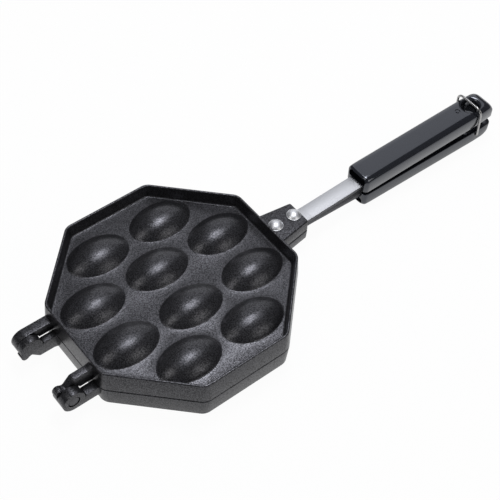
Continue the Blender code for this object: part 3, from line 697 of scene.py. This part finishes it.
# %% [markdown]
# ## Pins and rivets
#
# Both are turned shapes: a profile swept about its axis. A pin's end lies a little deep in its
# boss, with a thin dark line round it. A rivet's head is the cap of a ball on a low straight foot,
# and its tail is spread flush into the strap.

# %% Pins
pin_length = BOSS_SPAN[1] - blind - SEAT
turned_radius = PIN_RADIUS - PIN_LINE
corners = [(0, PIN_DROP), (turned_radius, PIN_DROP), (turned_radius, pin_length), (0, pin_length)]
profile = rounded(corners, [0, PIN_EDGE, PIN_EDGE, 0], closed=False)
pin = moved(turned("pin", profile), Matrix.Rotation(-pi / 2, 4, "X"))
for half, side in (("upper", "near"), ("lower", "far")):
    place = HALVES[half] @ Matrix.Translation((0, -BOSS_SPAN[1], 0))
    show("pin_" + side, moved(pin, place), half + "_half", ["hinge_pin_" + side], pin_steel)

# %% Rivets
seat = LUG_RISE + SEAT - STRAP_LIFT
drop = (HEAD_RADIUS**2 - HEAD_RISE**2) / (2 * HEAD_RISE)
ball = drop + HEAD_RISE
cap = arc((0, seat - drop), ball, asin(drop / ball) + CAP_START, pi / 2, 14)
cap[-1, 0] = 0
tail = [(0, 0), (TAIL_RADIUS, 0), (SHANK_RADIUS, TAIL_DEPTH), (SHANK_RADIUS, seat)]
foot = [(HEAD_RADIUS - HEAD_FOOT, seat), (HEAD_RADIUS, seat + HEAD_FOOT)]
rivet = turned("rivet", np.vstack([tail, foot, cap]))
for half, place in HALVES.items():
    for number, x in enumerate(RIVETS_X, 1):
        mesh = moved(rivet, place @ Matrix.Translation((x, 0, STRAP_LIFT)))
        nodes = [f"{half}_rivet_{number}"]
        show(f"rivet_{half}_{number}", mesh, half + "_half", nodes, rivet_metal)

# %% [markdown]
# ## Straps
#
# A strap is rolled strip, bent once past the lug and once at the grip. Its outline is drawn from
# the side and carried across its width, and its sheared edges are broken. Its holes are countersunk
# on the inner face.

# %% Straps
DRILL_UNDER, DRILL_TOP = 0.001, 0.006  # a drill's reach below the inner face and above it
run = TANG_LENGTH * cos(GRIP_TILT)
spine = [(STRAP_START_X, STRAP_LIFT), (BEND_X, STRAP_LIFT), (GRIP_X, STRAP_AT_GRIP)]
spine.append((GRIP_X + run, STRAP_AT_GRIP + run * tan(GRIP_TILT)))
under = rounded(spine, [0, BEND_RADIUS, BEND_RADIUS, 0], closed=False)
outline = np.vstack([under, under[::-1] + (0, STRAP_THICK)])
strap = broken_edges(prism("strap", outline, -STRAP_HALF, STRAP_HALF), STRAP_EDGE, 2)


def flared_hole(radius, flare, depth, place):
    """Tool for a hole that widens towards the strap's inner face."""
    profile = [(0, -DRILL_UNDER), (flare, -DRILL_UNDER), (flare, 0)]
    profile += [(radius, depth), (radius, DRILL_TOP), (0, DRILL_TOP)]
    return moved(turned("hole", profile, 32), place)


holes = []
for x in RIVETS_X:
    place = Matrix.Translation((x, 0, STRAP_LIFT))
    holes.append(flared_hole(RIVET_HOLE, RIVET_FLARE, TAIL_DEPTH, place))
for x in SCREWS_X:
    place = GRIP_PLACE @ Matrix.Translation((x, 0, TANG_INSET))
    holes.append(flared_hole(SCREW_HOLE, SCREW_FLARE, SCREW_SINK, place))
strap = combine(strap, holes, "DIFFERENCE")
for half, place in HALVES.items():
    nodes = [half + "_strap"]
    show("steel_strap_" + half, moved(strap, place), half + "_half", nodes, brushed)

# %% [markdown]
# ## Grips
#
# The grip is one section carried along its length. The section is a flat-bottomed bar whose outer
# edges are wide elliptic arcs. Its height slopes a little and follows an arc of 2.6 mm at the heel,
# and an arc of 9 mm over the nose. Its half width follows smaller arcs. The groove for the strap,
# the pocket in the near end, the hanging hole, the inserts' holes and a small ring-shaped moulding
# mark are then cut.

# %% Sizes of the grip's ends and edges
HEEL, HEEL_CORNER, NOSE, NOSE_CORNER = 0.0026, 0.0032, 0.009, 0.0035
HEEL_SLOPE, HEEL_RUN = 0.0007, 0.0075  # how far the top falls towards the heel, and over what length
EDGE_RISE, EDGE_SPREAD, FOOT_EDGE = 0.0036, 0.0055, 0.0006  # the wide top edge, and the edge of the flat side
TAPER, TAPER_RUN = 0.001, 0.0185  # how far each side draws in at the far end, and over what length
END_EASE = 0.0002  # how far the flat side lifts at each end
HEEL_STATIONS = np.linspace(0.0032, 0.008, 7)
BAR_START, BAR_STEP, BAR_STATIONS = 0.012, 0.002, 20
MOUTH_X, MOUTH_Y, MOUTH_ROUND = (-0.003, 0.012), (-0.0084, 0.0080), 0.0022
MOUTH_Z = (GROOVE_TOP + 0.0009, GROOVE_TOP + 0.0066)
RING_X, RING_Y, RING_RADII, RING_FLOOR, RING_TOP = 0.1005, 0.0013, (0.0013, 0.0021), 0.0122, 0.014
PIVOT_SPAN = (0.0075, 0.02)  # the bail's pivot holes, from the long axis out
print("grip", round(2 * GRIP_HALF * 1000, 1), "mm wide")

# %% Grip body


def stands_back(radius, depth):
    """How far a rounded corner stands back from its full size, at a depth from the end.

    It is radius - sqrt(radius^2 - (radius - depth)^2)."""
    past = np.clip(radius - depth, 0, radius)
    return radius - np.sqrt(radius**2 - past**2)


quarter = np.linspace(0, pi / 2, 17)
heel_x = HEEL * (1 - np.cos(quarter[::2]))
nose_x = GRIP_LENGTH - NOSE * (1 - np.cos(quarter[::-1]))
bar_x = np.linspace(BAR_START, nose_x[0] - BAR_STEP, BAR_STATIONS)
stations = np.concatenate([heel_x, HEEL_STATIONS, bar_x, nose_x])
rise = GRIP_RISE - stands_back(HEEL, stations) - stands_back(NOSE, GRIP_LENGTH - stations)
# Towards the heel the top falls by HEEL_SLOPE x (1 - place / HEEL_RUN) to the power 1.5.
rise -= HEEL_SLOPE * np.clip(1 - stations / HEEL_RUN, 0, 1) ** 1.5
# Towards its far end a grip draws in by TAPER x (3 draw squared - draw cubed) / 2.
draw = np.clip((stations - GRIP_LENGTH + TAPER_RUN) / TAPER_RUN, 0, 1)
half = GRIP_HALF - TAPER * draw * draw * (1.5 - 0.5 * draw)
half -= stands_back(HEEL_CORNER, stations) + stands_back(NOSE_CORNER, GRIP_LENGTH - stations)
ends = (stations == stations[0]) | (stations == stations[-1])
ease = np.where(ends, END_EASE, 0)
turns = np.linspace(0, pi / 2, 8)
edge = np.minimum(EDGE_RISE, rise - FOOT_EDGE)[:, None]
spread = edge * EDGE_SPREAD / EDGE_RISE
foot_y = half[:, None] - FOOT_EDGE + FOOT_EDGE * np.sin(turns[::2])
foot_z = (FOOT_EDGE * (1 - np.cos(turns[::2])))[None] + 0 * foot_y + ease[:, None]
top_y = half[:, None] - spread + spread * np.cos(turns)
top_z = rise[:, None] - edge + edge * np.sin(turns)
side_y = np.concatenate([foot_y, top_y], 1)
side_z = np.concatenate([foot_z, top_z], 1)
section_y = np.concatenate([side_y, -side_y[:, ::-1]], 1)
section_z = np.concatenate([side_z, side_z[:, ::-1]], 1)
rows = np.stack([np.broadcast_to(stations[:, None], section_y.shape), section_y, section_z], -1)
count = rows.shape[1]
last = (len(stations) - 1) * count
faces = grid_faces(len(stations), count) + [list(range(count)), list(range(last, last + count))]
grip = sew("grip", [(rows.reshape(-1, 3), faces)])

# %% Cuts in a grip


def box_tool(x_span, y_span, z_span, edge=0):
    """Box between three pairs of planes, with its edges rounded if an edge is given."""
    (left, right), (low, high) = x_span, z_span
    corners = [(left, low), (right, low), (right, high), (left, high)]
    mesh = prism("box", np.array(corners), *y_span)
    return broken_edges(mesh, edge) if edge else mesh


groove_x = (-OVERRUN, TANG_LENGTH + SEAT)
groove = box_tool(groove_x, (-STRAP_HALF - SEAT, STRAP_HALF + SEAT), (-OVERRUN, GROOVE_TOP))
mouth = box_tool(MOUTH_X, MOUTH_Y, MOUTH_Z, MOUTH_ROUND)
flare = arc((HANG_RADIUS + HANG_FLARE, GRIP_RISE - HANG_FLARE), HANG_FLARE, pi, pi / 2, 8)
over = GRIP_RISE + OVERRUN
profile = [(0, -OVERRUN), (HANG_RADIUS, -OVERRUN), *flare, (HANG_RADIUS + HANG_FLARE, over), (0, over)]
tools = [groove, mouth, moved(turned("hang_hole", profile, 64), Matrix.Translation((HANG_X, 0, 0)))]
for x in SCREWS_X:
    profile = [(0, 0), (INSERT_RADIUS, 0), (INSERT_RADIUS, INSERT_DEPTH), (0, INSERT_DEPTH)]
    tools.append(moved(turned("insert_hole", profile, 24), Matrix.Translation((x, 0, 0))))
inner, outer = RING_RADII
profile = [(inner, RING_FLOOR), (outer, RING_FLOOR), (outer, RING_TOP), (inner, RING_TOP)]
ring_mark = turned("ring_mark", profile, 40, closed=True)
tools.append(moved(ring_mark, Matrix.Translation((RING_X, RING_Y, 0))))
grip = combine(grip, tools, "DIFFERENCE")

# %% Pivots of the bail, and both grips
pivots = []
for angle in (-pi / 2, pi / 2):
    low, high = PIVOT_SPAN
    hole = turned("pivot", [(0, low), (PIVOT_RADIUS, low), (PIVOT_RADIUS, high), (0, high)], 24)
    place = Matrix.Translation((BAIL_X, 0, BAIL_DEPTH)) @ Matrix.Rotation(angle, 4, "X")
    pivots.append(moved(hole, GRIP_PLACE.inverted() @ place))
for half, place in HALVES.items():
    mesh = combine(grip.copy(), pivots, "DIFFERENCE") if half == "lower" else grip
    mesh = moved(mesh, place @ GRIP_PLACE)
    nodes = [half + "_grip"]
    show("moulded_grip_" + half, mesh, half + "_half", nodes, phenolic)

# %% [markdown]
# ## Bail
#
# The bail is one wire: a circle carried along a path in one plane. The path runs from its stub in
# the lower grip, up the side, over the upper grip and down again. Its corners are arcs, so the path
# has a direction everywhere.

# %% Bail wire
corners = [(-STUB_END, 0), (-BAIL_HALF, 0), (-BAIL_HALF, -BAIL_REACH)]
corners += [(BAIL_HALF, -BAIL_REACH), (BAIL_HALF, 0), (STUB_END, 0)]
path = rounded(corners, [0, STUB_BEND, BAIL_BEND, BAIL_BEND, STUB_BEND, 0], steps=14, closed=False)
points = np.column_stack([BAIL_LEAN * path[:, 1] / BAIL_REACH, path])
heading = np.gradient(points, axis=0)
heading /= np.linalg.norm(heading, axis=1)[:, None]
plane_normal = np.cross((0, 1, 0), (BAIL_LEAN, 0, BAIL_REACH))
plane_normal = plane_normal / np.linalg.norm(plane_normal)
sideways = np.cross(heading, plane_normal)
angle = np.linspace(0, 2 * pi, 20, endpoint=False)[None, :, None]
rows = points[:, None] + WIRE_RADIUS * (np.cos(angle) * plane_normal + np.sin(angle) * sideways[:, None])
bail = sew("bail", [patch(rows, tips=(True, True))])
place = LOWER @ Matrix.Translation((BAIL_X, 0, BAIL_DEPTH))
show("wire_bail", moved(bail, place), "locking_bail", ["locking_bail"], wire_steel, 60)

# %% [markdown]
# ## Hidden fasteners
#
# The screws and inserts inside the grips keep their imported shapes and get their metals.

# %% Dress the hidden fasteners
for name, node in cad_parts.items():
    if "screw" in name or "insert" in name:
        node.data.materials.clear()
        node.data.materials.append(pin_steel if "screw" in name else brass)
print("fasteners dressed")

# %% [markdown]
# ## Table and light
#
# The photograph is a cut-out on white. The table is a white sheet that the camera and glass see as
# plain white, with a faint shadow where the pan stands. Mirrors see less of that plain white and
# more of the sheet's own shade, so sides that face the table stay darker. Four soft lamps light the
# pan. A broad one hangs where a level surface mirrors it to the camera, so it gives every flat top
# its sheen. A small bright one, nearly overhead, draws the streak along each dome. Two warmer ones,
# in front on the left and on the right, put the two low lobes on the domes. The room around is dim,
# so steep rims stay dark.

# %% White table
WHITE_SHARE, MIRRORED_SHARE = 0.96, 0.82
TABLE_REACH = 6.0
table_surface, tree, shader, where = material("matte_white_table")
shader.inputs["Base Color"].default_value = colour("#f2f2f2")
shader.inputs["Roughness"].default_value = 0.9
rays = add(tree, "LightPath", {})
by_mirrors = {0: rays.outputs["Is Glossy Ray"], 1: MIRRORED_SHARE}
by_mirrors = add(tree, "Math", by_mirrors, operation="MULTIPLY").outputs[0]
by_camera = {0: rays.outputs["Is Camera Ray"], 1: by_mirrors}
by_camera = add(tree, "Math", by_camera, operation="MAXIMUM").outputs[0]
by_all = {0: by_camera, 1: rays.outputs["Is Transmission Ray"]}
by_all = add(tree, "Math", by_all, operation="MAXIMUM").outputs[0]
part = add(tree, "Math", {0: by_all, 1: WHITE_SHARE}, operation="MULTIPLY")
white = add(tree, "Emission", {"Color": (1, 1, 1, 1), "Strength": 1.0})
mix = add(tree, "MixShader", {"Fac": part.outputs[0], 1: shader.outputs[0], 2: white.outputs[0]})
tree.links.new(mix.outputs[0], tree.nodes["Material Output"].inputs["Surface"])
table = bpy.data.meshes.new("table")
corners = [(-TABLE_REACH, -TABLE_REACH, 0), (TABLE_REACH, -TABLE_REACH, 0)]
corners += [(TABLE_REACH, TABLE_REACH, 0), (-TABLE_REACH, TABLE_REACH, 0)]
table.from_pydata(corners, [], [[0, 1, 2, 3]])
table.materials.append(table_surface)
table_top = bpy.data.objects.new("table", table)
bpy.context.scene.collection.objects.link(table_top)
print("table", 2 * TABLE_REACH, "m wide")

# %% World and lamps
LAMP_AIM = Vector((-0.03, 0, 0.02))  # over the plates, on the handle's side
COOL, WARM = (0.95, 0.96, 1.0), (1.0, 0.98, 0.94)
world = bpy.data.worlds.new("soft_room")
bpy.context.scene.world = world
world.use_nodes = True
tree = world.node_tree
sky = tree.nodes["Background"]
sky.inputs["Color"].default_value = (0.94, 0.95, 1, 1)
sky.inputs["Strength"].default_value = 0.15


def softbox(name, away, aside, distance, size, radiance, tint=COOL):
    """Lamp of even brightness that faces the plates.

    Its two angles, in degrees, lean it from the zenith away from the camera and to the camera's right.
    Its power is radiance x pi x area."""
    lamp = bpy.data.lights.new(name, "AREA")
    lamp.shape = "RECTANGLE"
    lamp.size, lamp.size_y = size
    lamp.energy = radiance * pi * size[0] * size[1]
    lamp.color = tint
    holder = bpy.data.objects.new(name, lamp)
    bpy.context.scene.collection.objects.link(holder)
    ahead = -Vector((back.x, back.y, 0)).normalized()
    aim = (Vector((0, 0, 1)) + tan(radians(away)) * ahead + tan(radians(aside)) * level_right).normalized()
    along = (ahead - ahead.dot(aim) * aim).normalized()
    place = Matrix((along.cross(aim), along, aim)).transposed().to_4x4()
    holder.matrix_world = Matrix.Translation(LAMP_AIM + aim * distance) @ place
    return holder


softbox("broad_behind", 52, 0, 1.3, (1.1, 1.75), 0.83)
softbox("bright_core", 14, 2, 1.1, (0.32, 0.40), 15.0)
softbox("front_left", -21, -32, 1.2, (0.45, 0.45), 2.6, WARM)
softbox("front_right", -29, 45, 1.2, (0.55, 0.55), 2.0, WARM)

scene = bpy.context.scene
scene.view_settings.view_transform = "Standard"
print("lamps set")
